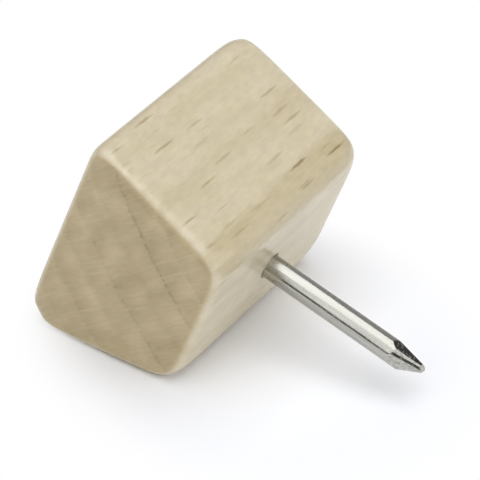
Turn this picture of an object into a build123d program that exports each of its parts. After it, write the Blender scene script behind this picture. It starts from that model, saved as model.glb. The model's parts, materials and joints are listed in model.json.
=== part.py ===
from build123d import *
import os
from math import atan2, degrees, radians, tan

# A push pin: a tapered beech block glued onto a steel pin with a four-sided point.
# It is drawn with the pin along -Y, then turned to lie on its lower sloping side,
# as it lies on a desk. Millimetres, X along the grain, Z up, origin under the middle.

# The beech block
block_length = 22.0      # along the grain, end to end
block_depth = 13.4       # from the pin face back to the thumb face
thumb_face_height = 19.0
pin_face_height = 12.5
edge_radius = 1.1        # sanded round along every edge
corner_cut = 2.2         # length worn off each edge where three of them meet
corner_radius = 1.2      # sanded round about each worn corner

# The steel pin
pin_diameter = 2.0
pin_reach = 14.5         # from the pin face to the tip
pin_end_chamfer = 0.2    # broken edge of the inner end

# The sheared point of the pin
point_length = 3.5       # from where the facets start to the tip
tip_width = 0.32         # across two opposite facets, at the blunt tip
ridge_ratio = 1.25       # across the flattened ridges, as a multiple of across the facets
point_turn = 6.0         # degrees that the facets are turned about the pin's axis
tip_shift_side = 0.12    # how far the tip lies off the axis, towards +X
tip_shift_up = 0.15      # and away from the lower side of the block

# The glued joint
glue_gap = 0.1           # between the pin and the wall of its hole
glue_bed = 0.4           # under the pin's inner end
glue_recess = 0.35       # from the pin face down to the glue
wall_behind_hole = 3.8   # wood left between the hole's end and the thumb face
drill_angle = 118.0      # included angle of the hole's cone-shaped end
mouth_chamfer = 0.12     # broken edge of the hole's mouth

# Worked out from the sizes above
side_slope = degrees(atan2((thumb_face_height - pin_face_height) / 2, block_depth))
facet_to_ridge = 360 / 8  # degrees, as four ridges lie midway between four facets
pin_radius = pin_diameter / 2
hole_radius = pin_radius + glue_gap
drill_cone_height = hole_radius / tan(radians(drill_angle / 2))
hole_depth = block_depth - wall_behind_hole - drill_cone_height
pin_seat_depth = hole_depth - glue_bed
pin_length = pin_seat_depth + pin_reach


def across_pin(distance):
    """The plane across the pin's axis, this far out from the pin face, facing outwards."""
    return Plane(origin=(0, -distance, 0), x_dir=(1, 0, 0), z_dir=(0, -1, 0))


def sawn_block():
    """The block before sanding: a trapezoid extruded along the grain."""
    half_back = thumb_face_height / 2
    half_front = pin_face_height / 2
    outline = Polyline(
        (0, -half_front),
        (block_depth, -half_back),
        (block_depth, half_back),
        (0, half_front),
        close=True,
    )
    return extrude(Plane.YZ * make_face(outline), amount=block_length / 2, both=True)


def corner_planes(sawn):
    """For each sharp corner, the plane that takes the same length off its three edges."""
    planes = []
    for corner in sawn.vertices():
        marks = []
        for edge in sawn.edges():
            ends = edge.vertices()
            if any(end.is_same(corner) for end in ends):
                far_end = next(end for end in ends if not end.is_same(corner))
                direction = (Vector(far_end) - Vector(corner)).normalized()
                marks.append(Vector(corner) + direction * corner_cut)
        normal = (marks[1] - marks[0]).cross(marks[2] - marks[0]).normalized()
        if normal.dot(Vector(corner) - marks[0]) < 0:
            normal = normal * -1
        planes.append(Plane(origin=marks[0], z_dir=normal))
    return planes


def edges_on(solid, plane):
    """The edges round the solid's flat that lies in this plane."""
    flats = solid.faces().filter_by(GeomType.PLANE).filter_by(plane)
    return min(flats, key=lambda flat: abs(plane.to_local_coords(flat.center()).Z)).edges()


def drilled_hole():
    """The space that the drill takes out of the block, with its cone-shaped end."""
    bore = extrude(across_pin(0) * Circle(hole_radius), amount=-hole_depth)
    cone_middle = -hole_depth - drill_cone_height / 2
    return bore + across_pin(cone_middle) * Cone(0, hole_radius, drill_cone_height)


def sanded_block():
    """The block with its edges sanded round, then its corners worn off and sanded round too."""
    sawn = sawn_block()
    block = fillet(sawn.edges(), edge_radius)
    for plane in corner_planes(sawn):
        block = split(block, bisect_by=plane, keep=Keep.BOTTOM)
        block = fillet(edges_on(block, plane), corner_radius)
    return block


def make_handle_block():
    block = sanded_block()
    mouth_radius = hole_radius + mouth_chamfer
    mouth = across_pin(-mouth_chamfer / 2) * Cone(hole_radius, mouth_radius, mouth_chamfer)
    return block - drilled_hole() - mouth


def point_outline(distance):
    """The facets' section this far back from the tip: a square with its corners flattened."""
    share_left = 1 - distance / point_length
    half_width = pin_radius - (pin_radius - tip_width / 2) * share_left
    middle = Pos(tip_shift_side * share_left, tip_shift_up * share_left)
    across_facets = Rectangle(2 * half_width, 2 * half_width)
    across_ridges = scale(Rot(Z=facet_to_ridge) * across_facets, by=ridge_ratio)
    outline = middle * Rot(Z=point_turn) * (across_facets & across_ridges)
    return across_pin(pin_reach - distance) * outline


def make_steel_pin():
    wire = extrude(across_pin(-pin_seat_depth) * Circle(pin_radius), amount=pin_length)
    inner_end = wire.edges().sort_by(Axis.Y)[-1]
    wire = chamfer(inner_end, pin_end_chamfer)
    facets = loft([point_outline(pin_length + point_length), point_outline(0)], ruled=True)
    return wire & facets


def make_glue_sleeve(pin):
    recess = extrude(across_pin(0) * Circle(hole_radius), amount=-glue_recess)
    return drilled_hole() - recess - pin


# Make the pieces, lay them on the lower sloping side and centre them on the origin
steel_pin = make_steel_pin()
pieces = {
    "handle_block": make_handle_block(),
    "steel_pin": steel_pin,
    "glue_sleeve": make_glue_sleeve(steel_pin),
}
turned = {name: Rot(X=side_slope) * piece for name, piece in pieces.items()}
reach = turned["handle_block"].bounding_box().add(turned["steel_pin"].bounding_box())
onto_desk = Pos(-reach.center().X, -reach.center().Y, -reach.min.Z)

os.makedirs("parts", exist_ok=True)
for name, piece in turned.items():
    placed = onto_desk * piece
    export_step(placed, f"parts/{name}.step")
    box = placed.bounding_box()
    print(name, "volume", round(placed.volume, 3), "from", box.min, "to", box.max)
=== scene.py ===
# %% [markdown]
# # A push pin: a beech block on a steel pin
#
# The real object is small: a block of beech, 22 mm long, with a 2 mm steel pin glued into its
# narrow face. It lies on its lower sloping side. This lesson dresses a measured model of it. The
# measured model is loaded first and is never moved, so every size below has something to agree with.

# %% Load the measured model
import json
from math import atan2, cos, degrees, pi, radians, sin

import bmesh
import bpy
from mathutils import Euler, Matrix, Vector


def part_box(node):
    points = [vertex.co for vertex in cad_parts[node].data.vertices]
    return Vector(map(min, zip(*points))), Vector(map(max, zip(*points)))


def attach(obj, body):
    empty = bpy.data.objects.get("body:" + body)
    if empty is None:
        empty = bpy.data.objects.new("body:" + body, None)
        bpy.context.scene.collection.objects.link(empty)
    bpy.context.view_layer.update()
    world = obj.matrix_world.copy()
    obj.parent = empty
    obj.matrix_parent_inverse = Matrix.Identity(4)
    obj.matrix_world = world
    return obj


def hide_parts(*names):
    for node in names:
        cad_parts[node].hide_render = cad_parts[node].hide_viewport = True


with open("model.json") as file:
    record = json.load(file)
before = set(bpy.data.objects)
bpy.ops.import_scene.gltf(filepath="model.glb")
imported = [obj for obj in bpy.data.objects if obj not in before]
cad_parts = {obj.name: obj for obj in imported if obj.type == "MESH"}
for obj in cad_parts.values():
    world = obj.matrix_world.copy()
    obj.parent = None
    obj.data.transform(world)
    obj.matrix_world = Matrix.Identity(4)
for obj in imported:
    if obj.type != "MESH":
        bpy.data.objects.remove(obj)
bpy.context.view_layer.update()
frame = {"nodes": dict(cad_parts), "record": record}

MM = 0.001  # the scene is in metres, and the object's sizes are given in millimetres

# %% [markdown]
# ## Where the block and the pin lie
#
# The block is easiest to model upright, with its pin along -Y and the pin's foot at the origin. The
# record of the measured model says where the foot is and which way the pin points. One matrix made
# from these two facts then lays each finished mesh down in its place, and the objects themselves
# stay at the origin, unturned.

# %% Find the foot of the pin and the slope that it lies at
mounts = {mount["name"]: mount for mount in frame["record"]["mounts"]}
pin_face = mounts["board_face"]
pin_foot = Vector((0.0, pin_face["pos_m"][1], pin_face["pos_m"][2]))
outward = Vector(pin_face["axis"])
slope = atan2(-outward.z, -outward.y)
lie_down = Matrix.Translation(pin_foot) @ Matrix.Rotation(slope, 4, "X")
foot_in_mm = [round(value / MM, 3) for value in pin_foot]
print("pin foot", foot_in_mm, "mm, slope", round(degrees(slope), 2), "degrees")

# %% [markdown]
# ## The camera
#
# A long lens far away keeps the block's edges nearly parallel, as in a catalogue picture. The camera
# is placed by a point that it looks at, a distance and three angles: round the object, up, and a
# small roll, because the picture is turned a little against the desk.

# %% Make the camera
view_point = Vector((-0.265, 2.310, 7.384)) * MM
view_distance = 284.2 * MM
degrees_round = -64.75  # from straight in front of the pin, towards the left
degrees_up = 34.95
degrees_rolled = 8.76
view_turn = Euler((radians(90 - degrees_up), 0.0, radians(degrees_round))).to_matrix().to_4x4()
view_roll = Matrix.Rotation(radians(degrees_rolled), 4, "Z")

camera_data = bpy.data.cameras.new("catalogue_camera")
camera_data.sensor_width = 36.0
camera_data.lens = 277.1
camera_data.clip_start = 0.01
camera = bpy.data.objects.new("catalogue_camera", camera_data)
bpy.context.collection.objects.link(camera)
toward_camera = view_turn.to_3x3() @ Vector((0, 0, 1))
camera_place = Matrix.Translation(view_point + toward_camera * view_distance)
camera.matrix_world = camera_place @ view_turn @ view_roll
bpy.context.scene.camera = camera
bpy.context.scene.view_settings.view_transform = "Standard"
print("camera at", [round(value, 4) for value in camera.location])

# %% [markdown]
# ## A function for colours and one for nodes
#
# Colours are easiest to compare with a picture as sRGB hex values, but Blender's shaders work in
# linear light, so one function converts them. A second one adds a node, sets its options and
# sockets, and links other nodes into it, which keeps a long material readable as a list of steps.

# %% Colours and nodes
COLOUR_A, COLOUR_B, COLOUR_OUT = 6, 7, 2  # the colour sockets of a Mix node, which share their names
NUMBER_A, NUMBER_B = 2, 3                 # and those for plain numbers


def colour(hex_value):
    """An sRGB hex colour as a linear colour with full alpha."""
    channels = [int(hex_value[start:start + 2], 16) / 255 for start in (1, 3, 5)]
    linear = [c / 12.92 if c <= 0.04045 else ((c + 0.055) / 1.055) ** 2.4 for c in channels]
    return (*linear, 1.0)


def add_node(material, kind, inputs=None, **options):
    """Adds a node. An input is a plain value, another node's socket, or a node for its first socket."""
    tree = material.node_tree
    node = tree.nodes.new("ShaderNode" + kind)
    for name, value in options.items():
        setattr(node, name, value)
    for socket, value in (inputs or {}).items():
        if isinstance(value, bpy.types.Node):
            value = value.outputs[0]
        if isinstance(value, bpy.types.NodeSocket):
            tree.links.new(value, node.inputs[socket])
        else:
            node.inputs[socket].default_value = value
    return node


def new_material(name):
    """An empty node material and its output node."""
    material = bpy.data.materials.new(name)
    material.use_nodes = True
    material.node_tree.nodes.clear()
    return material, add_node(material, "OutputMaterial")


print("white is", colour("#FFFFFF"))

# %% [markdown]
# ## The desk
#
# The object lies on a white sheet that is lit so well that it burns out, and only a soft shadow close
# to the object shows that it is there. A white matt floor gives that shadow. For the camera and for
# mirrors it turns into plain white two centimetres away, so that the picture's ground is white
# without any more light on the object.

# %% Paper of the desk
shadow_middle = Vector((-2.0, -2.0, 0.0)) * MM
shadow_kept = 12 * MM  # the shadow is whole up to this far from its middle
white_from = 20 * MM   # and from here on the sheet is plain white
# What is seen of the sheet has a trace of blue, which balances the warm light that comes off the wood.
seen_colour = (1.015, 1.03, 1.075, 1.0)

floor_paper, floor_out = new_material("white_paper_matt")
ray = add_node(floor_paper, "LightPath")
seen = add_node(floor_paper, "Math", {0: ray.outputs["Is Camera Ray"], 1: ray.outputs["Is Glossy Ray"]},
                operation="MAXIMUM")
seen_or_through = add_node(floor_paper, "Math", {0: seen, 1: ray.outputs["Is Transmission Ray"]},
                           operation="MAXIMUM")
paper_place = add_node(floor_paper, "TexCoord")
from_shadow = add_node(floor_paper, "VectorMath", {0: paper_place.outputs["Object"], 1: shadow_middle},
                       operation="DISTANCE")
away = add_node(floor_paper, "MapRange", {"Value": from_shadow.outputs["Value"], "From Min": shadow_kept,
                                          "From Max": white_from}, interpolation_type="SMOOTHSTEP")
white_share = add_node(floor_paper, "Math", {0: seen_or_through, 1: away.outputs["Result"]},
                       operation="MULTIPLY")
paper_colour = add_node(floor_paper, "Mix", {0: seen_or_through, COLOUR_A: colour("#F4F4F5"),
                                             COLOUR_B: seen_colour}, data_type="RGBA")
paper = add_node(floor_paper, "BsdfDiffuse", {"Color": paper_colour.outputs[COLOUR_OUT]})
plain_white = add_node(floor_paper, "Emission", {"Color": colour("#FFFFFF"), "Strength": 1.0})
sheet_face = add_node(floor_paper, "MixShader", {0: white_share, 1: paper, 2: plain_white})
floor_paper.node_tree.links.new(sheet_face.outputs[0], floor_out.inputs["Surface"])
print("paper has", len(floor_paper.node_tree.nodes), "nodes")

# %% Lay the sheet
sheet_size = (6.0, 6.0)  # metres
half_side = 0.5          # of a grid that is 1 m by 1 m before it is scaled


def stage_sheet(name, size, place, material):
    """A flat rectangle that belongs to the studio and not to the object."""
    work = bmesh.new()
    bmesh.ops.create_grid(work, x_segments=1, y_segments=1, size=half_side)
    bmesh.ops.scale(work, vec=(size[0], size[1], 1.0), verts=work.verts)
    work.transform(place)
    mesh = bpy.data.meshes.new(name)
    work.to_mesh(mesh)
    work.free()
    mesh.materials.append(material)
    sheet = bpy.data.objects.new(name, mesh)
    bpy.context.collection.objects.link(sheet)
    print(name, [round(value, 3) for value in sheet.dimensions], "m")
    return sheet


stage_sheet("desk_sheet", sheet_size, Matrix.Identity(4), floor_paper)

# %% [markdown]
# ## The light
#
# The bright stripe along the pin is the picture of a large softbox overhead, and the beige one below
# it is a dimmer panel on the left. A softbox in front lights the face that the pin stands in. On the
# right there is only a dim reflector, which draws the dark upper edge of the pin. A panel's power is
# worked out from the brightness that it should show in a mirror, because the two differ by pi times
# its area. Cards that only mirrors see draw the rest, and they neither take light away nor add any. A
# low dark card on the left gives the thin dark line between the panel and the floor. Three more give
# the point of the pin its contrast: a dark flag for its upper facet, a white card beside the camera
# for the flat below that, and a small dark card near the floor for the next flat.

# %% Make the lamps and the dim room


def light_panel(name, middle, aim, width, height, brightness):
    """A rectangular lamp that shows this brightness to a mirror. Its place and size are in metres."""
    data = bpy.data.lights.new(name, "AREA")
    data.shape = "RECTANGLE"
    data.size = width
    data.size_y = height
    data.energy = brightness * pi * width * height
    panel = bpy.data.objects.new(name, data)
    bpy.context.collection.objects.link(panel)
    direction = Vector(aim) - Vector(middle)
    turn = direction.to_track_quat("-Z", "Y").to_matrix().to_4x4()
    panel.matrix_world = Matrix.Translation(middle) @ turn
    panel.visible_camera = False
    print(name, round(data.energy, 3), "W")


light_panel("overhead_softbox", middle=(-0.04, 0.03, 0.60), aim=(-0.04, 0.03, 0.0),
            width=0.82, height=0.58, brightness=1.72)
light_panel("front_softbox", middle=(0.12, -0.78, 0.46), aim=(0.0, 0.0, 0.01),
            width=1.30, height=0.62, brightness=1.29)
light_panel("right_reflector", middle=(0.74, 0.14, 0.43), aim=(0.0, 0.0, 0.0),
            width=0.50, height=0.80, brightness=0.23)
light_panel("left_panel", middle=(-0.78, 0.14, 0.47), aim=(0.0, 0.02, 0.0),
            width=0.62, height=0.71, brightness=1.17)

room = bpy.data.worlds.new("dim_room")
room.use_nodes = True
room_light = room.node_tree.nodes["Background"]
room_light.inputs["Color"].default_value = colour("#FFFFFF")
room_light.inputs["Strength"].default_value = 0.20
bpy.context.scene.world = room
print("room at", round(room_light.inputs["Strength"].default_value, 2))

# %% Make the cards that only mirrors see
dark_card, dark_out = new_material("dark_card_matt")
dark_face = add_node(dark_card, "BsdfDiffuse", {"Color": colour("#5C5C5A")})
dark_card.node_tree.links.new(dark_face.outputs[0], dark_out.inputs["Surface"])
white_card, white_out = new_material("white_card_lit")
white_face = add_node(white_card, "Emission", {"Color": colour("#FFFFFF"), "Strength": 1.2})
white_card.node_tree.links.new(white_face.outputs[0], white_out.inputs["Surface"])


def mirror_card(name, size, middle, way, material):
    """A card across this way, of this width and height, that only mirrors see."""
    place = Matrix.Translation(middle) @ way.to_track_quat("Z", "Y").to_matrix().to_4x4()
    card = stage_sheet(name, size, place, material)
    card.visible_camera = False
    card.visible_diffuse = False
    card.visible_shadow = False


to_left = Vector((-1.0, 0.0, 0.0))
left_card_middle = Vector((-36.0, -3.0, 3.0)) * MM  # half its height above the floor
mirror_card("dark_card", (38 * MM, 6 * MM), left_card_middle, to_left, dark_card)
to_flag = Vector((0.30, -0.15, 0.36))
mirror_card("dark_flag", (0.22, 0.22), to_flag, to_flag, dark_card)

# The next two stand where two flats of the pin's point mirror the view, so they are placed from there.
point_middle = lie_down @ Vector((0.0, -13.0 * MM, 0.0))
beside_camera = Vector((-0.600, -0.539, 0.591))
white_card_away = 0.35
white_card_middle = point_middle + beside_camera * white_card_away
mirror_card("white_card", (0.16, 0.16), white_card_middle, beside_camera, white_card)
low_left = Vector((-0.916, -0.400, 0.0))
low_card_away = 25 * MM
onto_floor = Vector((0.0, 0.0, 2.0)) * MM  # so that the card's lower edge is on the floor
low_card_middle = point_middle + onto_floor + low_left * low_card_away
mirror_card("low_dark_card", (14 * MM, 10 * MM), low_card_middle, low_left, dark_card)

# %% [markdown]
# ## Beech under a satin lacquer
#
# Beech is a pale wood whose rays are large enough to see. Where a face is cut nearly along a growth
# ring, each ray ends as a thin dark spindle that lies along the grain. On the ends of the block the
# growth rings show as thin, broken dark lines, with the rays as fine pale lines across them, and the
# colour is deeper there, because the cut tubes of the wood swallow light. All of this is one solid
# pattern in three directions, along the grain, along a ring and across the rings, so it meets at
# every edge as in a real block. A picture would have to be unwrapped, and would stretch there.

# %% Directions in the wood
# Here and below, a pattern's size or reach is in mm along the grain, along a ring and across the rings.
ring_tilt = radians(52.5)  # on the ends, the rings rise towards the back at this angle
ring_width = 2.275         # mm
pith_away = 62.4           # mm from the origin to the middle of the tree, across the rings
pith_along = 10.9          # mm, the same along the rings, so that they bend evenly in the block
drift_size = (18.0, 5.0, 5.0)
drift_reach = (0.0, 0.6, 0.6)
noise_middle = (0.5, 0.5, 0.5)

beech, beech_out = new_material("beech_sanded_satin_lacquer")
in_object = add_node(beech, "TexCoord")
grain = add_node(beech, "Mapping", {
    "Vector": in_object.outputs["Object"],
    "Rotation": (-ring_tilt, 0.0, 0.0),
    "Scale": (1 / MM, 1 / MM, 1 / MM),
    "Location": (0.0, -pith_along, -pith_away),
})
drift_place = add_node(beech, "VectorMath", {0: grain, 1: drift_size}, operation="DIVIDE")
drift = add_node(beech, "TexNoise", {"Vector": drift_place, "Scale": 1.0, "Detail": 3.0})
drift_way = add_node(beech, "VectorMath", {0: drift.outputs["Color"], 1: noise_middle},
                     operation="SUBTRACT")
wavy = add_node(beech, "VectorMath", {0: drift_way, 1: drift_reach, 2: grain}, operation="MULTIPLY_ADD")
facing = add_node(beech, "SeparateXYZ", {0: in_object.outputs["Normal"]})
across = add_node(beech, "Math", {0: facing.outputs["X"]}, operation="ABSOLUTE")
end_grain = add_node(beech, "MapRange", {"Value": across, "From Min": 0.84, "From Max": 0.97},
                     interpolation_type="SMOOTHSTEP")
print("wood directions ready, rings", ring_width, "mm apart")

# %% Growth rings
# Late wood is the dense, darker end of each ring, and a thin dark line closes it. Both are ragged.
ragged_size = (0.7, 0.25, 0.5)
torn_reach = (0.0, 0.35, 0.35)
across_grain = (0.0, 1.0, 1.0)

ragged_place = add_node(beech, "VectorMath", {0: grain, 1: ragged_size}, operation="DIVIDE")
ragged = add_node(beech, "TexNoise", {"Vector": ragged_place, "Scale": 1.0, "Detail": 2.0})
torn = add_node(beech, "VectorMath", {0: ragged.outputs["Color"], 1: torn_reach, 2: wavy},
                operation="MULTIPLY_ADD")
section = add_node(beech, "VectorMath", {0: torn, 1: across_grain}, operation="MULTIPLY")
radius = add_node(beech, "VectorMath", {0: section}, operation="LENGTH")
ring_count = add_node(beech, "Math", {0: radius.outputs["Value"], 1: ring_width}, operation="DIVIDE")
ring_part = add_node(beech, "Math", {0: ring_count}, operation="FRACT")
late_rise = add_node(beech, "MapRange", {"Value": ring_part, "From Min": 0.25, "From Max": 0.85},
                     interpolation_type="SMOOTHSTEP")
late_fall = add_node(beech, "MapRange", {"Value": ring_part, "From Min": 1.0, "From Max": 0.84},
                     interpolation_type="SMOOTHSTEP")
late_wood = add_node(beech, "Math", {0: late_rise.outputs["Result"], 1: late_fall.outputs["Result"]},
                     operation="MULTIPLY")
line_rise = add_node(beech, "MapRange", {"Value": ring_part, "From Min": 0.82, "From Max": 0.95})
line_fall = add_node(beech, "MapRange", {"Value": ring_part, "From Min": 1.0, "From Max": 0.975})
line_shape = add_node(beech, "Math", {0: line_rise.outputs["Result"], 1: line_fall.outputs["Result"]},
                      operation="MULTIPLY")
print("growth rings ready")

# %% Strength of each ring
# Some years make more late wood than others. So each ring, counted from the middle of the tree, has
# its own strength, in red for its line and in green for the tone before it.
first_ring, last_ring = 22.0, 32.0
strengths = {22: (0.3, 0.5), 23: (0.4, 0.9), 24: (0.7, 0.45), 25: (1.0, 0.2), 26: (0.1, 0.25),
             27: (0.65, 0.3), 28: (0.1, 0.25), 29: (0.35, 0.4), 30: (0.2, 0.3)}

ring_place = add_node(beech, "MapRange", {"Value": ring_count, "From Min": first_ring,
                                          "From Max": last_ring})
ring_strength = add_node(beech, "ValToRGB", {"Fac": ring_place.outputs["Result"]})
ring_strength.color_ramp.interpolation = "CONSTANT"
for ring, (line, tone) in strengths.items():
    step = ring_strength.color_ramp.elements.new((ring - first_ring) / (last_ring - first_ring))
    step.color = (line, tone, 0.0, 1.0)
ring_strength.color_ramp.elements.remove(ring_strength.color_ramp.elements[0])
ring_parts = add_node(beech, "SeparateColor", {0: ring_strength})
print("late wood of", len(strengths), "rings")

# %% Rays that end on a side
# The spindles are 2 to 3 mm long and about 0.2 mm wide. Cells of a Voronoi texture, stretched along
# the grain and across the rings, give one ray each, and few of the cells are strong ones. They show
# where the face lies along the grain and nearly along a ring.
bent_reach = (0.9, 0.16, 0.16)
fleck_size = (4.4, 0.38, 12.0)
across_rings = (0.0, -sin(ring_tilt), cos(ring_tilt))

bent_place = add_node(beech, "VectorMath", {0: ragged.outputs["Color"], 1: bent_reach, 2: wavy},
                      operation="MULTIPLY_ADD")
fleck_place = add_node(beech, "VectorMath", {0: bent_place, 1: fleck_size}, operation="DIVIDE")
ray_end = add_node(beech, "TexVoronoi", {"Vector": fleck_place, "Scale": 1.0, "Randomness": 1.0})
fleck_shape = add_node(beech, "MapRange", {"Value": ray_end.outputs["Distance"],
                                           "From Min": 0.36, "From Max": 0.16})
fleck_luck = add_node(beech, "SeparateColor", {0: ray_end.outputs["Color"]})
fleck_strength = add_node(beech, "Math", {0: fleck_luck.outputs["Red"], 1: 2.6}, operation="POWER")
long_ray = add_node(beech, "Math", {0: fleck_shape.outputs["Result"], 1: fleck_strength},
                    operation="MULTIPLY")
on_side = add_node(beech, "MapRange", {"Value": across, "From Min": 0.45, "From Max": 0.12},
                   interpolation_type="SMOOTHSTEP")
side_ray = add_node(beech, "Math", {0: long_ray, 1: on_side.outputs["Result"]}, operation="MULTIPLY")
ring_face = add_node(beech, "VectorMath", {0: in_object.outputs["Normal"], 1: across_rings},
                     operation="DOT_PRODUCT")
ring_turn = add_node(beech, "Math", {0: ring_face.outputs["Value"]}, operation="ABSOLUTE")
along_ring = add_node(beech, "MapRange", {"Value": ring_turn, "From Min": 0.55, "From Max": 0.85},
                      interpolation_type="SMOOTHSTEP")
fleck = add_node(beech, "Math", {0: side_ray, 1: along_ring.outputs["Result"]}, operation="MULTIPLY")
print("spindles in cells of", fleck_size, "mm")

# %% Rays that are cut along their length
# These are fine pale lines, in narrower cells.
ray_size = (5.0, 0.26, 2.6)

ray_place = add_node(beech, "VectorMath", {0: bent_place, 1: ray_size}, operation="DIVIDE")
ray_side = add_node(beech, "TexVoronoi", {"Vector": ray_place, "Scale": 1.0, "Randomness": 1.0})
ray_shape = add_node(beech, "MapRange", {"Value": ray_side.outputs["Distance"],
                                         "From Min": 0.42, "From Max": 0.15})
ray_luck = add_node(beech, "SeparateColor", {0: ray_side.outputs["Color"]})
ray_strength = add_node(beech, "Math", {0: ray_luck.outputs["Green"], 1: 2.5}, operation="POWER")
pale_ray = add_node(beech, "Math", {0: ray_shape, 1: ray_strength}, operation="MULTIPLY")
print("pale rays in cells of", ray_size, "mm")

# %% Pores and slow changes of tone
# Real pores are under 0.1 mm wide. They are drawn 0.15 mm wide, so that they still show.
pore_size = (1.1, 0.15, 0.17)
scratch_size = (2.0, 0.16, 1.3)
patch_size = (5.0, 2.0, 2.4)

pore_place = add_node(beech, "VectorMath", {0: grain, 1: pore_size}, operation="DIVIDE")
pore = add_node(beech, "TexNoise", {"Vector": pore_place, "Scale": 1.0, "Detail": 2.0})
scratch_place = add_node(beech, "VectorMath", {0: wavy, 1: scratch_size}, operation="DIVIDE")
scratch = add_node(beech, "TexNoise", {"Vector": scratch_place, "Scale": 1.0, "Detail": 2.0})
patch_place = add_node(beech, "VectorMath", {0: grain, 1: patch_size}, operation="DIVIDE")
patch = add_node(beech, "TexNoise", {"Vector": patch_place, "Scale": 1.0, "Detail": 4.0})
patch_tone = add_node(beech, "MapRange", {"Value": patch, "From Min": 0.3, "From Max": 0.7})
print("pores and patches ready")

# %% Breaks in the ring lines
# The lines are torn in short steps, and they fade in places.
broken_line = add_node(beech, "MapRange", {"Value": ragged, "From Min": 0.36, "From Max": 0.66})
fading_line = add_node(beech, "MapRange", {"Value": patch, "From Min": 0.35, "From Max": 0.6,
                                           "To Min": 0.2})
line_breaks = add_node(beech, "Math", {0: broken_line.outputs["Result"],
                                       1: fading_line.outputs["Result"]}, operation="MULTIPLY")
ring_line = add_node(beech, "Math", {0: line_shape, 1: line_breaks}, operation="MULTIPLY")
ring_mark = add_node(beech, "Math", {0: ring_line, 1: ring_parts.outputs["Red"]}, operation="MULTIPLY")
ring_tone = add_node(beech, "Math", {0: late_wood, 1: ring_parts.outputs["Green"]},
                     operation="MULTIPLY")
print("ring lines broken")

# %% Colours along the grain
along_tone = add_node(beech, "Mix", {0: patch_tone, COLOUR_A: colour("#DCD0B4"),
                                     COLOUR_B: colour("#D5C8A8")}, data_type="RGBA")
along_late = add_node(beech, "Math", {0: ring_tone, 1: 0.5}, operation="MULTIPLY")
along_ringed = add_node(beech, "Mix", {0: along_late, COLOUR_A: along_tone.outputs[COLOUR_OUT],
                                       COLOUR_B: colour("#B8A67A")}, data_type="RGBA")
along_pale = add_node(beech, "Math", {0: pale_ray, 1: 0.25}, operation="MULTIPLY")
along_paled = add_node(beech, "Mix", {0: along_pale, COLOUR_A: along_ringed.outputs[COLOUR_OUT],
                                      COLOUR_B: colour("#DFD5BB")}, data_type="RGBA")
along_fleck = add_node(beech, "Math", {0: fleck, 1: 0.9}, operation="MULTIPLY")
along_colour = add_node(beech, "Mix", {0: along_fleck, COLOUR_A: along_paled.outputs[COLOUR_OUT],
                                       COLOUR_B: colour("#94804F")}, data_type="RGBA")
# Sanding cuts the rays at changing slants, which leaves a faint mottling in patches of about 1 mm.
mottle_size = (1.3, 0.55, 0.55)
mottle_place = add_node(beech, "VectorMath", {0: grain, 1: mottle_size}, operation="DIVIDE")
mottle = add_node(beech, "TexNoise", {"Vector": mottle_place, "Scale": 1.0, "Detail": 3.0})
mottle_tone = add_node(beech, "MapRange", {"Value": mottle, "From Min": 0.3, "From Max": 0.7,
                                           "To Min": 0.94, "To Max": 1.06})
along_mottled = add_node(beech, "VectorMath", {0: along_colour.outputs[COLOUR_OUT],
                                               1: mottle_tone.outputs["Result"]}, operation="MULTIPLY")
print("long grain coloured")

# %% Colours of the end grain
across_tone = add_node(beech, "Mix", {0: patch_tone, COLOUR_A: colour("#CBB992"),
                                      COLOUR_B: colour("#B4A17A")}, data_type="RGBA")
across_late = add_node(beech, "Math", {0: ring_tone, 1: 0.5}, operation="MULTIPLY")
across_ringed = add_node(beech, "Mix", {0: across_late, COLOUR_A: across_tone.outputs[COLOUR_OUT],
                                        COLOUR_B: colour("#97835A")}, data_type="RGBA")
across_line = add_node(beech, "Math", {0: ring_mark, 1: 0.6}, operation="MULTIPLY")
across_lined = add_node(beech, "Mix", {0: across_line, COLOUR_A: across_ringed.outputs[COLOUR_OUT],
                                       COLOUR_B: colour("#7C6742")}, data_type="RGBA")
clear_ray = add_node(beech, "Math", {0: long_ray, 1: 1.6}, operation="MULTIPLY")
across_rays = add_node(beech, "Math", {0: pale_ray, 1: clear_ray}, operation="MAXIMUM")
across_ray = add_node(beech, "Math", {0: across_rays, 1: 0.52}, operation="MULTIPLY")
across_rayed = add_node(beech, "Mix", {0: across_ray, COLOUR_A: across_lined.outputs[COLOUR_OUT],
                                       COLOUR_B: colour("#CDBE9B")}, data_type="RGBA")
scratch_tone = add_node(beech, "MapRange", {"Value": scratch, "From Min": 0.3, "From Max": 0.7,
                                            "To Min": 0.945, "To Max": 1.055})
across_colour = add_node(beech, "VectorMath", {0: across_rayed.outputs[COLOUR_OUT],
                                               1: scratch_tone.outputs["Result"]}, operation="MULTIPLY")
print("end grain coloured")

# %% Tan line round the ends
# Sanding round the sawn ends burns a thin line where the end grain begins.
tan_rise = add_node(beech, "MapRange", {"Value": across, "From Min": 0.78, "From Max": 0.89})
tan_fall = add_node(beech, "MapRange", {"Value": across, "From Min": 0.97, "From Max": 0.91})
tan_line = add_node(beech, "Math", {0: tan_rise.outputs["Result"], 1: tan_fall.outputs["Result"]},
                    operation="MULTIPLY")
tan_share = add_node(beech, "Math", {0: tan_line, 1: 0.55}, operation="MULTIPLY")
print("tan line ready")

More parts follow.
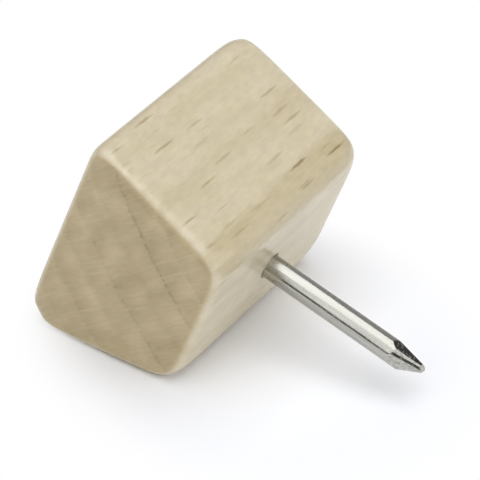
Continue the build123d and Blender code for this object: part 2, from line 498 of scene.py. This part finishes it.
# %% Join the two grains at the edges, and paint a highlight on the rounding
# On the rounding beside the tan line a paler colour is painted in as a highlight, the sheen of the
# lacquer on the rounded edge, stronger in some places.
joined = add_node(beech, "Mix", {0: end_grain.outputs["Result"], COLOUR_A: along_mottled,
                                 COLOUR_B: across_colour}, data_type="RGBA")
highlight_rise = add_node(beech, "MapRange", {"Value": across, "From Min": 0.08, "From Max": 0.35})
highlight_fall = add_node(beech, "MapRange", {"Value": across, "From Min": 0.82, "From Max": 0.6})
highlight_band = add_node(beech, "Math", {0: highlight_rise.outputs["Result"], 1: highlight_fall.outputs["Result"]},
                     operation="MULTIPLY")
highlight_places = add_node(beech, "MapRange", {"Value": patch, "From Min": 0.42, "From Max": 0.62,
                                           "To Min": 0.55, "To Max": 0.1})
painted_highlight_share = add_node(beech, "Math", {0: highlight_band, 1: highlight_places.outputs["Result"]},
                      operation="MULTIPLY")
# The painted highlight: a pale colour mixed in on the rounding.
painted_highlight_edge = add_node(beech, "Mix", {0: painted_highlight_share, COLOUR_A: joined.outputs[COLOUR_OUT],
                                   COLOUR_B: colour("#E8DEC4")}, data_type="RGBA")
edged = add_node(beech, "Mix", {0: tan_share, COLOUR_A: painted_highlight_edge.outputs[COLOUR_OUT],
                                COLOUR_B: colour("#C9B589")}, data_type="RGBA")
pore_tone = add_node(beech, "MapRange", {"Value": pore, "From Min": 0.3, "From Max": 0.7,
                                         "To Min": 0.975, "To Max": 1.02})
wood_colour = add_node(beech, "VectorMath", {0: edged.outputs[COLOUR_OUT],
                                             1: pore_tone.outputs["Result"]}, operation="MULTIPLY")
print("beech has", len(beech.node_tree.nodes), "nodes so far")

# %% Finish of the beech
# The lacquer is thin. It shines softly over the matt wood and leaves the pores a little open.
relief = add_node(beech, "Math", {0: pore, 1: fleck}, operation="SUBTRACT")
wood_bump = add_node(beech, "Bump", {"Height": relief, "Strength": 0.2, "Distance": 0.02 * MM})
wood_rough = add_node(beech, "MapRange", {"Value": pore, "To Min": 0.45, "To Max": 0.6})
lacquered = add_node(beech, "BsdfPrincipled", {
    "Base Color": wood_colour,
    "Roughness": wood_rough.outputs["Result"],
    "IOR": 1.5,
    "Normal": wood_bump,
    "Coat Weight": 0.6,
    "Coat Roughness": 0.15,
    "Coat IOR": 1.5,
})
beech.node_tree.links.new(lacquered.outputs[0], beech_out.inputs["Surface"])
print("beech finished with", len(beech.node_tree.nodes), "nodes")

# %% [markdown]
# ## The block
#
# Such blocks come from a long stick whose four edges are already moulded round. It is sawn into
# lengths, and then the sawn ends are sanded, which gives them a smaller rounding and rubs each corner
# a little differently. The mesh is made in the same order: a cube is stretched and tapered, rows are
# cut in it parallel to its faces so that the rounding has clean quads to work with, and then the long
# edges, the end outlines and the corners follow. A Subdivision Surface smooths the result. A Bevel
# modifier on the tapered cube would be quicker, but it would round every edge and corner alike.

# %% Saw the block
lowest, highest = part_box("handle_block")
block_length = highest[0] - lowest[0]
block_depth = 13.4 * MM
pin_face_height = 12.5 * MM
thumb_face_height = 19.0 * MM

block = bmesh.new()
bmesh.ops.create_cube(block, size=1.0)
bmesh.ops.scale(block, vec=(block_length, block_depth, pin_face_height), verts=block.verts)
bmesh.ops.translate(block, vec=(0.0, block_depth / 2, 0.0), verts=block.verts)
thumb_corners = [vert for vert in block.verts if vert.co.y > block_depth / 2]
bmesh.ops.scale(block, vec=(1.0, 1.0, thumb_face_height / pin_face_height), verts=thumb_corners)
block.normal_update()
sawn_corners = [vert.co.copy() for vert in block.verts]
print("sawn block", len(block.faces), "faces,", len(sawn_corners), "corners")

# %% Cut rows parallel to its faces
row_in = 2.3 * MM       # from each face
row_by_pin = 2.4 * MM   # above, below and on both sides of the pin
row_between = 5.5 * MM  # midway between the pin's rows and those at the ends
row_tolerance = 1e-7    # metres
along_grain = Vector((1.0, 0.0, 0.0))
upwards = Vector((0.0, 0.0, 1.0))
backwards = Vector((0.0, 1.0, 0.0))

cuts = [(face.calc_center_median() - face.normal * row_in, face.normal.copy()) for face in block.faces]
for side in (-1, 1):
    cuts.append((along_grain * side * row_by_pin, along_grain))
    cuts.append((along_grain * side * row_between, along_grain))
    cuts.append((upwards * side * row_by_pin, upwards))
cuts.append((backwards * block_depth / 2, backwards))
for place, direction in cuts:
    everything = block.verts[:] + block.edges[:] + block.faces[:]
    bmesh.ops.bisect_plane(block, geom=everything, plane_co=place, plane_no=direction,
                           dist=row_tolerance)
print("rows cut,", len(block.faces), "faces")

# %% Round the long edges, then the outlines of the ends
long_round = 1.27 * MM
end_round = 0.82 * MM
least_row = 0.1 * MM          # edges across the grain reach less than this along it
long_edge_angle = radians(45)
end_edge_angle = radians(60)  # the rounded long edges no longer turn by so much


def length_along_grain(edge):
    """How far an edge reaches along the grain."""
    return abs(edge.verts[0].co.x - edge.verts[1].co.x)


block.normal_update()
long_edges = [edge for edge in block.edges
              if edge.calc_face_angle() > long_edge_angle and length_along_grain(edge) > least_row]
bmesh.ops.bevel(block, geom=long_edges, offset=long_round, offset_type="OFFSET", segments=2,
                profile=0.5, affect="EDGES", material=-1)
block.normal_update()
end_edges = [edge for edge in block.edges if edge.calc_face_angle() > end_edge_angle]
bmesh.ops.bevel(block, geom=end_edges, offset=end_round, offset_type="OFFSET", segments=2,
                profile=0.5, affect="EDGES", material=-1, clamp_overlap=False)
print(len(long_edges), "long edges and", len(end_edges), "end edges rounded")

# %% Rub the corners
# How often each corner is rubbed, by its end (-1 for the near one), front or back, and bottom or top
rubs = {(-1, -1, -1): 2, (-1, -1, 1): 2, (-1, 1, -1): 14, (-1, 1, 1): 0,
        (1, -1, -1): 3, (1, -1, 1): 1, (1, 1, -1): 3, (1, 1, 1): 3}
corner_reach = 2.0 * MM

for corner in sawn_corners:
    end = 1 if corner.x > 0 else -1
    back = 1 if corner.y > block_depth / 2 else -1
    top = 1 if corner.z > 0 else -1
    rubbed = [vert for vert in block.verts if (vert.co - corner).length < corner_reach]
    for rub in range(rubs[end, back, top]):
        bmesh.ops.smooth_vert(block, verts=rubbed, factor=0.5,
                              use_axis_x=True, use_axis_y=True, use_axis_z=True)
print("corners rubbed", sum(rubs.values()), "times in all")

# %% Sharpen the near end's top edge
# Beside the back corner this edge was sanded less, so its rounding is narrower there.
sharpen_reach = 1.2 * MM  # from where the sawn edge was
row_slack = 0.3 * MM      # from the row that lies nearest to the back
rounding_left = 0.5       # the share of its width that the rounding keeps

row_depth = block_depth - row_in
row_height = pin_face_height + (thumb_face_height - pin_face_height) * row_depth / block_depth
sawn_edge = Vector((-block_length / 2, row_depth, row_height / 2))
sharper = [vert for vert in block.verts
           if abs(vert.co.y - row_depth) < row_slack and (vert.co - sawn_edge).length < sharpen_reach]
bmesh.ops.scale(block, vec=(rounding_left, 1.0, rounding_left), space=Matrix.Translation(-sawn_edge),
                verts=sharper)
print("edge sharpened at", len(sharper), "points")

# %% [markdown]
# ## The hole for the pin
#
# The pin stands in a drilled hole that is a little wider than it. Only a thin dark line shows round
# its foot. The middle quad of the pin face is taken out and joined to a circle, which is then pushed
# in as the broken edge, the wall and the end of the hole. A Boolean would cut the hole too, but it
# leaves long thin faces round it, and the Subdivision Surface would pinch there.

# %% Open the mouth of the hole
mouth_radius = 1.16 * MM
across_y = Matrix.Rotation(radians(90), 4, "X")  # turns a flat circle to lie across the pin

crease = block.edges.layers.float.new("crease_edge")
face_middle = min(block.faces, key=lambda face: face.calc_center_median().length)
rim = face_middle.edges[:]
bmesh.ops.delete(block, geom=[face_middle], context="FACES_ONLY")
mouth = bmesh.ops.create_circle(block, cap_ends=False, segments=32, radius=mouth_radius, matrix=across_y)
mouth_edges = list({edge for vert in mouth["verts"] for edge in vert.link_edges})
bmesh.ops.bridge_loops(block, edges=rim + mouth_edges)
print("mouth of", len(mouth_edges), "edges in a rim of", len(rim))

# %% Push the hole in
mouth_depth = 0.06 * MM  # of the broken edge
hole_radius = 1.1 * MM
hole_depth = 8.9 * MM
cone_depth = 0.6 * MM    # of the drilled end
cone_flat = 0.05         # the share of the hole's radius that is left at the end of the cone


def of_kind(kind, items):
    """Of what an operator gives back, only the vertices or only the edges."""
    return [item for item in items if isinstance(item, kind)]


loop = mouth_edges
pushes = ((hole_radius / mouth_radius, mouth_depth), (1.0, hole_depth), (cone_flat, cone_depth))
for shrink, depth in pushes:
    for edge in loop:
        edge[crease] = 1.0
    pushed = bmesh.ops.extrude_edge_only(block, edges=loop)["geom"]
    inner = of_kind(bmesh.types.BMVert, pushed)
    loop = [edge for edge in of_kind(bmesh.types.BMEdge, pushed) if all(v in inner for v in edge.verts)]
    bmesh.ops.scale(block, vec=(shrink, 1.0, shrink), verts=inner)
    bmesh.ops.translate(block, vec=(0.0, depth, 0.0), verts=inner)
bmesh.ops.edgeloop_fill(block, edges=loop)
bmesh.ops.recalc_face_normals(block, faces=block.faces)
print("hole drilled, open edges", sum(len(edge.link_faces) != 2 for edge in block.edges))

# %% Lay the block down and finish it


def finish_piece(name, mesh_work, material, node):
    """Turns a bmesh into an object in its place, and hides the measured piece that it stands for."""
    mesh_work.transform(lie_down)
    mesh = bpy.data.meshes.new(name)
    mesh_work.to_mesh(mesh)
    mesh_work.free()
    mesh.shade_smooth()
    mesh.materials.append(material)
    piece = bpy.data.objects.new(name, mesh)
    bpy.context.collection.objects.link(piece)
    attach(piece, "root")
    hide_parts(node)
    print(name, len(mesh.polygons), "faces")
    return piece


beech_block = finish_piece("beech_block", block, beech, "handle_block")
rounding = beech_block.modifiers.new("rounding", "SUBSURF")
rounding.levels = 2
rounding.render_levels = 2

# %% [markdown]
# ## Bright drawn steel
#
# The wire was pulled through a die, which leaves it bright, with very fine lines along its length.
# These stretch the reflections a little, and small worn specks make their edges grainy. The facets of
# the point were squeezed off between two blades, which leaves them smooth, with rough specks where the
# metal tore. The pattern needs to know where along the pin it is, so the coordinates are turned back
# to the pin's own direction. Two materials could share the pin, but one lets the finish change slowly.

# %% Marks on the steel
# Real drawing lines are a few hundredths of a mm wide. They are drawn 0.12 mm wide, so that they show.
streak_size = (0.12, 5.0, 0.12)  # mm, with the pin along the second direction
speck_size = (0.15, 0.25, 0.15)
point_from, point_whole = -11.2, -11.8  # mm along the pin, between which the point's finish sets in

steel, steel_out = new_material("steel_wire_bright_drawn")
back_up = lie_down.inverted()
steel_place = add_node(steel, "TexCoord")
along_pin = add_node(steel, "Mapping", {
    "Vector": steel_place.outputs["Object"],
    "Rotation": (-slope, 0.0, 0.0),
    "Scale": (1 / MM, 1 / MM, 1 / MM),
    "Location": back_up.translation / MM,
})
streak_place = add_node(steel, "VectorMath", {0: along_pin, 1: streak_size}, operation="DIVIDE")
streak = add_node(steel, "TexNoise", {"Vector": streak_place, "Scale": 1.0, "Detail": 3.0})
speck_place = add_node(steel, "VectorMath", {0: along_pin, 1: speck_size}, operation="DIVIDE")
speck = add_node(steel, "TexNoise", {"Vector": speck_place, "Scale": 1.0, "Detail": 4.0})
pin_way = add_node(steel, "SeparateXYZ", {0: along_pin})
at_point = add_node(steel, "MapRange", {"Value": pin_way.outputs["Y"], "From Min": point_from,
                                        "From Max": point_whole})
print("drawing lines and specks ready")

# %% Finish of the steel
drawn_wear = add_node(steel, "Math", {0: streak, 1: speck}, operation="ADD")
drawn_rough = add_node(steel, "MapRange", {"Value": drawn_wear, "From Min": 0.8, "From Max": 1.3,
                                           "To Min": 0.10, "To Max": 0.33})
shear_rough = add_node(steel, "MapRange", {"Value": speck, "From Min": 0.5, "From Max": 0.68,
                                           "To Min": 0.08, "To Max": 0.5})
steel_rough = add_node(steel, "Mix", {0: at_point.outputs["Result"],
                                      NUMBER_A: drawn_rough.outputs["Result"],
                                      NUMBER_B: shear_rough.outputs["Result"]})
drawn_tone = add_node(steel, "Mix", {0: streak, COLOUR_A: colour("#C2C1BB"),
                                     COLOUR_B: colour("#A9A8A1")}, data_type="RGBA")
shear_share = add_node(steel, "MapRange", {"Value": speck, "From Min": 0.35, "From Max": 0.65})
shear_tone = add_node(steel, "Mix", {0: shear_share, COLOUR_A: colour("#C6C5BE"),
                                     COLOUR_B: colour("#A3A29B")}, data_type="RGBA")
steel_tone = add_node(steel, "Mix", {0: at_point.outputs["Result"],
                                     COLOUR_A: drawn_tone.outputs[COLOUR_OUT],
                                     COLOUR_B: shear_tone.outputs[COLOUR_OUT]}, data_type="RGBA")
shear_height = add_node(steel, "Math", {0: speck, 1: 2.0}, operation="MULTIPLY")
steel_height = add_node(steel, "Mix", {0: at_point.outputs["Result"], NUMBER_A: streak,
                                       NUMBER_B: shear_height})
steel_bump = add_node(steel, "Bump", {"Height": steel_height, "Strength": 0.5, "Distance": 0.01 * MM})
bright_steel = add_node(steel, "BsdfPrincipled", {
    "Base Color": steel_tone.outputs[COLOUR_OUT],
    "Metallic": 1.0,
    "Roughness": steel_rough,
    "Normal": steel_bump,
})
steel.node_tree.links.new(bright_steel.outputs[0], steel_out.inputs["Surface"])
print("steel has", len(steel.node_tree.nodes), "nodes")

# %% [markdown]
# ## The pin and its sheared point
#
# A nail's point is squeezed off between two blades. That leaves four wide facets, with narrow flats
# between most of them, and never quite an even pyramid: the tip lies a trace off the middle, the flat
# towards the camera is doubled, and the tip itself is torn off blunt and askew. A cone with four sides
# would be too even for that. So a round bar is made first, and then one plane after the other cuts it,
# each given by its direction round the pin and by how far it lies from the middle line at the tip and
# where the point starts.

# %% Cut the wire
pin_radius = 1.0 * MM
pin_seat = 8.54 * MM    # how deep it stands in the block
pin_reach = 14.5 * MM   # how far it stands out
end_chamfer = 0.2 * MM  # broken edge of the inner end

wire = bmesh.new()
bmesh.ops.create_circle(wire, cap_ends=True, segments=96, radius=pin_radius,
                        matrix=Matrix.Translation((0.0, pin_seat, 0.0)) @ across_y)
inner_end = wire.edges[:]
pulled = bmesh.ops.extrude_face_region(wire, geom=wire.faces[:])["geom"]
bmesh.ops.translate(wire, vec=(0.0, -pin_seat - pin_reach, 0.0),
                    verts=of_kind(bmesh.types.BMVert, pulled))
bmesh.ops.bevel(wire, geom=inner_end, offset=end_chamfer, offset_type="OFFSET", segments=1,
                profile=0.5, affect="EDGES", material=-1)
print("wire", len(wire.faces), "faces")

# %% Shear its point
# Each cut: degrees round the pin, then its distance from the middle line at the tip and where the
# point starts, in mm
facets = {
    "upper facet": (94, 0.20, 1.08),
    "camera flat, upper half": (135, 0.15, 1.26),
    "camera flat, lower half": (157, 0.129, 1.245),
    "near facet": (178, 0.17, 1.15),
    "lower facet": (271, 0.20, 1.30),
    "lower far flat": (321, 0.28, 1.25),
    "far facet": (6, 0.26, 1.00),
    "upper far flat": (51, 0.24, 1.12),
}
point_start = Vector((0.0, -11.0, 0.0)) * MM
tip_middle = Vector((0.12, -14.5, 0.15)) * MM
torn_place = Vector((0.12, -14.3, 0.15)) * MM
torn_way = Vector((-0.18, -0.82, 0.54)).normalized()
shear_tolerance = 1e-8  # metres


def shear_off(place, way):
    """Cuts the wire at a plane, takes off what lies beyond it and closes the cut with a flat face."""
    everything = wire.verts[:] + wire.edges[:] + wire.faces[:]
    cut = bmesh.ops.bisect_plane(wire, geom=everything, plane_co=place, plane_no=way, clear_outer=True,
                                 dist=shear_tolerance)
    bmesh.ops.edgeloop_fill(wire, edges=of_kind(bmesh.types.BMEdge, cut["geom_cut"]))


for angle, out_at_tip, out_at_start in facets.values():
    outwards = Vector((cos(radians(angle)), 0.0, sin(radians(angle))))
    at_tip = tip_middle + outwards * out_at_tip * MM
    at_start = point_start + outwards * out_at_start * MM
    facet_way = (at_start - at_tip).cross(outwards.cross(backwards)).normalized()
    shear_off(at_tip, facet_way if facet_way.dot(outwards) > 0 else -facet_way)
shear_off(torn_place, torn_way)
bmesh.ops.recalc_face_normals(wire, faces=wire.faces)
open_edges = sum(len(edge.link_faces) != 2 for edge in wire.edges)
print("pin", len(wire.faces), "faces, open edges", open_edges)

# %% Lay the pin down and finish it
crisp_angle = radians(5)  # faces that meet at more than this keep a crisp edge
nail_pin = finish_piece("steel_nail_pin", wire, steel, "steel_pin")
nail_pin.data.set_sharp_from_angle(angle=crisp_angle)

# %% [markdown]
# ## The glue
#
# A little wood glue fills the gap round the pin, just below the pin face. The measured piece already
# has the right shape, so it stays, and only gets a material: cured glue, amber and glossy, with a
# slow change of tone where it is thicker.

# %% Cured glue
flow_size = 0.8  # mm

glue, glue_out = new_material("wood_glue_cured")
glue_place = add_node(glue, "TexCoord")
glue_mm = add_node(glue, "VectorMath", {0: glue_place.outputs["Object"], 1: (1 / MM, 1 / MM, 1 / MM)},
                   operation="MULTIPLY")
glue_flow = add_node(glue, "TexNoise", {"Vector": glue_mm, "Scale": 1 / flow_size, "Detail": 2.0})
glue_tone = add_node(glue, "Mix", {0: glue_flow, COLOUR_A: colour("#BDA877"),
                                   COLOUR_B: colour("#8E7747")}, data_type="RGBA")
glue_bump = add_node(glue, "Bump", {"Height": glue_flow, "Strength": 0.4, "Distance": 0.02 * MM})
cured_glue = add_node(glue, "BsdfPrincipled", {
    "Base Color": glue_tone.outputs[COLOUR_OUT],
    "Roughness": 0.25,
    "IOR": 1.47,
    "Normal": glue_bump,
})
glue.node_tree.links.new(cured_glue.outputs[0], glue_out.inputs["Surface"])
glue_slots = frame["nodes"]["glue_sleeve"].material_slots
for glue_slot in glue_slots:
    glue_slot.material = glue
print("glue set on", len(glue_slots), "slot")
